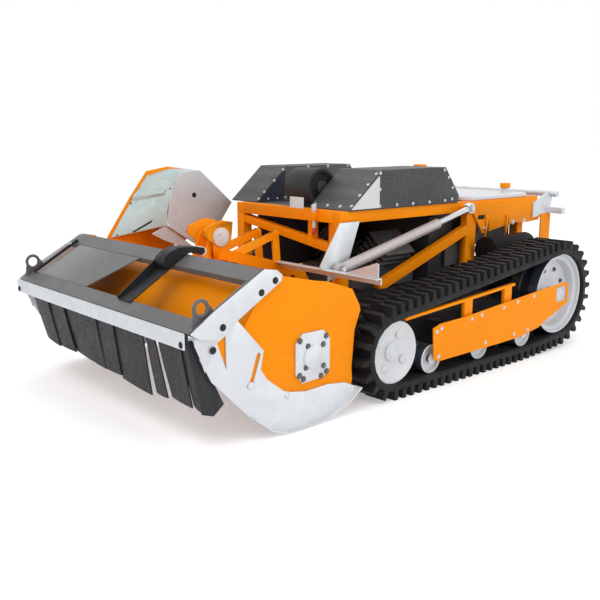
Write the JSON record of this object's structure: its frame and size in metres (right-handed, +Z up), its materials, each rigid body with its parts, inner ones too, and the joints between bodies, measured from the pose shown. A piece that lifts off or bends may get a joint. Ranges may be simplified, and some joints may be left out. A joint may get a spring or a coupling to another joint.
{
  "type": "remote control slope mower",
  "caption": "Low tracked carrier with rubber tracks, perforated hoods and a front flail deck with a hinged rubber flap frame.",
  "frame": {"origin": "middle of the footprint on the ground, at the bottom of the tracks and skids", "axes": "+Z up, -Y to the front (flail deck), +X to the machine's left side"},
  "size_m": [1.158, 2.08, 0.73],
  "materials": {
    "rubber": "matte moulded",
    "white": "satin",
    "steel": "satin",
    "orange": "gloss powder coat",
    "zinc": "galvanised",
    "charcoal": "fine textured powder coat",
    "black": "satin",
    "red": "gloss"
  },
  "bodies": {
    "chassis": {"chassis_tub": "black", "front_frame": "orange", "side_rail_left": "orange", "side_rail_right": "orange", "side_brace_left": "orange", "side_brace_right": "orange", "rear_frame": "orange", "rear_bumper": "zinc", "track_frame_left": "orange", "track_frame_right": "orange", "track_cover_left": "orange", "track_cover_right": "orange", "track_belt_left": "rubber", "track_belt_right": "rubber", "wheel_motor_left": "steel", "wheel_motor_right": "steel", "engine_block": "steel", "top_panel": "charcoal", "fan_housing": "charcoal", "hood_left": "charcoal", "hood_right": "charcoal", "twin_tank": "zinc", "muffler": "black"},
    "fuel_cap": {"fuel_cap": "orange"},
    "oil_cap": {"oil_cap": "orange"},
    "pull_pin": {"pull_pin": "red"},
    "lift": {"lift_arms": "orange", "cross_rail": "zinc", "lift_lever": "zinc", "hitch_pin": "white"},
    "ram_rod": {"lift_rod": "steel"},
    "ram_tube": {"lift_cylinder": "steel"},
    "deck": {"deck_shell": "orange", "deck_side_left": "orange", "deck_side_right": "orange", "tower_guard": "zinc", "bearing_cover_left": "zinc", "bearing_cover_right": "zinc", "deck_motor": "black", "drive_belt": "rubber", "belt_case": "orange"},
    "rotor": {"flail_rotor": "steel"},
    "drive_pulley": {"drive_pulley": "steel"},
    "skid_left": {"skid_left": "zinc"},
    "skid_right": {"skid_right": "zinc"},
    "flap": {"flap_frame": "charcoal", "flap_arm_left": "zinc", "flap_arm_right": "zinc", "flap_strip": "zinc", "flap_curtain": "rubber"},
    "drive_wheel_left": {"drive_wheel_left": "steel"},
    "idler_left": {"idler_left": "white"},
    "roller_1_left": {"roller_1_left": "steel"},
    "roller_2_left": {"roller_2_left": "steel"},
    "roller_3_left": {"roller_3_left": "steel"},
    "drive_wheel_right": {"drive_wheel_right": "steel"},
    "idler_right": {"idler_right": "white"},
    "roller_1_right": {"roller_1_right": "steel"},
    "roller_2_right": {"roller_2_right": "steel"},
    "roller_3_right": {"roller_3_right": "steel"}
  },
  "joints": [
    {"name": "drive_left", "type": "hinge", "parent": "chassis", "child": "drive_wheel_left", "pos_m": [0.498, 0.71, 0.228], "axis": [-1, 0, 0], "continuous": true},
    {"name": "idler_left_spin", "type": "hinge", "parent": "chassis", "child": "idler_left", "pos_m": [0.498, -0.256, 0.1583], "axis": [-1, 0, 0], "continuous": true},
    {"name": "roller_1_left_spin", "type": "hinge", "parent": "chassis", "child": "roller_1_left", "pos_m": [0.498, -0.072, 0.1033], "axis": [-1, 0, 0], "continuous": true},
    {"name": "roller_2_left_spin", "type": "hinge", "parent": "chassis", "child": "roller_2_left", "pos_m": [0.498, 0.197, 0.1033], "axis": [-1, 0, 0], "continuous": true},
    {"name": "roller_3_left_spin", "type": "hinge", "parent": "chassis", "child": "roller_3_left", "pos_m": [0.498, 0.468, 0.1033], "axis": [-1, 0, 0], "continuous": true},
    {"name": "drive_right", "type": "hinge", "parent": "chassis", "child": "drive_wheel_right", "pos_m": [-0.498, 0.71, 0.228], "axis": [-1, 0, 0], "continuous": true},
    {"name": "idler_right_spin", "type": "hinge", "parent": "chassis", "child": "idler_right", "pos_m": [-0.498, -0.256, 0.1583], "axis": [-1, 0, 0], "continuous": true},
    {"name": "roller_1_right_spin", "type": "hinge", "parent": "chassis", "child": "roller_1_right", "pos_m": [-0.498, -0.072, 0.1033], "axis": [-1, 0, 0], "continuous": true},
    {"name": "roller_2_right_spin", "type": "hinge", "parent": "chassis", "child": "roller_2_right", "pos_m": [-0.498, 0.197, 0.1033], "axis": [-1, 0, 0], "continuous": true},
    {"name": "roller_3_right_spin", "type": "hinge", "parent": "chassis", "child": "roller_3_right", "pos_m": [-0.498, 0.468, 0.1033], "axis": [-1, 0, 0], "continuous": true},
    {"name": "deck_lift", "type": "hinge", "parent": "chassis", "child": "lift", "pos_m": [0, -0.14, 0.19], "axis": [-1, 0, 0], "range_deg": [0, 11]},
    {"name": "ram_swing", "type": "hinge", "parent": "chassis", "child": "ram_rod", "pos_m": [0.326, 0.417, 0.568], "axis": [1, 0, 0], "range_deg": [-3, 3]},
    {"name": "ram_stroke", "type": "slide", "parent": "ram_rod", "child": "ram_tube", "axis": [0, 0.9731, 0.2304], "range_m": [0, 0.06]},
    {"name": "deck_tilt", "type": "hinge", "parent": "lift", "child": "deck", "pos_m": [0, -0.575, 0.512], "axis": [-1, 0, 0], "range_deg": [-2, 5]},
    {"name": "rotor_spin", "type": "hinge", "parent": "deck", "child": "rotor", "pos_m": [0, -0.603, 0.207], "axis": [1, 0, 0], "continuous": true},
    {"name": "pulley_spin", "type": "hinge", "parent": "deck", "child": "drive_pulley", "pos_m": [-0.562, -0.403, 0.6], "axis": [1, 0, 0], "continuous": true},
    {"name": "flap_open", "type": "hinge", "parent": "deck", "child": "flap", "pos_m": [0, -0.74, 0.462], "axis": [-1, 0, 0], "range_deg": [0, 50]},
    {"name": "skid_left_adjust", "type": "slide", "parent": "deck", "child": "skid_left", "axis": [0, -0.3298, -0.944], "range_m": [0, 0.07]},
    {"name": "skid_right_adjust", "type": "slide", "parent": "deck", "child": "skid_right", "axis": [0, -0.3298, -0.944], "range_m": [0, 0.07]},
    {"name": "fuel_cap_lift", "type": "slide", "parent": "chassis", "child": "fuel_cap", "axis": [0, 0, 1], "range_m": [0, 0.03]},
    {"name": "oil_cap_lift", "type": "slide", "parent": "chassis", "child": "oil_cap", "axis": [0, 0, 1], "range_m": [0, 0.025]},
    {"name": "pull_pin_slide", "type": "slide", "parent": "chassis", "child": "pull_pin", "axis": [0, 0, 1], "range_m": [0, 0.012], "stiffness_N_per_m": 600}
  ],
  "couplings": [
    {"joint": "idler_left_spin", "follows": "drive_left", "ratio": 1.5238},
    {"joint": "roller_1_left_spin", "follows": "drive_left", "ratio": 3.2},
    {"joint": "roller_2_left_spin", "follows": "drive_left", "ratio": 3.2},
    {"joint": "roller_3_left_spin", "follows": "drive_left", "ratio": 3.2},
    {"joint": "idler_right_spin", "follows": "drive_right", "ratio": 1.5238},
    {"joint": "roller_1_right_spin", "follows": "drive_right", "ratio": 3.2},
    {"joint": "roller_2_right_spin", "follows": "drive_right", "ratio": 3.2},
    {"joint": "roller_3_right_spin", "follows": "drive_right", "ratio": 3.2},
    {"joint": "ram_swing", "follows": "deck_lift", "ratio": -0.09523},
    {"joint": "ram_stroke", "follows": "deck_lift", "m_per_rad": 0.24581},
    {"joint": "pulley_spin", "follows": "rotor_spin", "ratio": 1.381}
  ]
}
